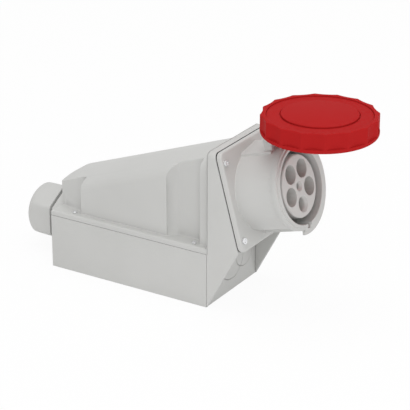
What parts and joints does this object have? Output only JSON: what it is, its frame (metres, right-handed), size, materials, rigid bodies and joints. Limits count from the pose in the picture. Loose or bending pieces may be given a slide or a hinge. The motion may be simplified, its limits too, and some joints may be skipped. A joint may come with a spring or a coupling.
{
  "type": "wall mounted pin and sleeve socket",
  "caption": "Wall mounted pin and sleeve socket: sloped grey housing, slanted round socket with a hinged red lid and turning locking ring, and a cable gland.",
  "frame": {"origin": "centre of the wall-fixing holes, on the wall face", "axes": "+Z away from the wall, +X towards the socket end, -X towards the cable gland"},
  "size_m": [0.3966, 0.1148, 0.2114],
  "materials": {
    "housing_grey": "fine moulded satin",
    "insulator_grey": "matt moulded",
    "seal_rubber": "matt",
    "zinc_steel": "bright zinc",
    "contact_brass": "turned",
    "lid_red": "moulded semi-gloss"
  },
  "bodies": {
    "housing": {"base_box": "housing_grey", "hood": "housing_grey", "socket_body": "housing_grey", "gland_body": "housing_grey", "gland_locknut": "housing_grey", "gland_nut": "housing_grey", "contact_carrier": "insulator_grey", "carrier_back": "insulator_grey", "housing_gasket": "seal_rubber", "flange_gasket": "seal_rubber", "gland_washer": "seal_rubber", "gland_seal": "seal_rubber", "hood_screws": "zinc_steel", "flange_screws": "zinc_steel", "terminal_screws": "zinc_steel", "carrier_screws": "zinc_steel", "hinge_pin": "zinc_steel", "contact_l1": "contact_brass", "contact_l2": "contact_brass", "contact_l3": "contact_brass", "contact_neutral": "contact_brass", "contact_earth": "contact_brass", "contact_pilot": "contact_brass"},
    "lid": {"lid_disc": "lid_red", "lid_seal": "seal_rubber"},
    "locking_ring": {"bayonet_ring": "lid_red"}
  },
  "joints": [
    {"name": "lid_hinge", "type": "hinge", "parent": "housing", "child": "lid", "pos_m": [0.13956, 0, 0.17565], "axis": [0, -1, 0], "range_deg": [-74.6, 30]},
    {"name": "ring_turn", "type": "hinge", "parent": "lid", "child": "locking_ring", "pos_m": [0.19116, 0, 0.18965], "axis": [0, 0, -1], "range_deg": [0, 40]}
  ]
}
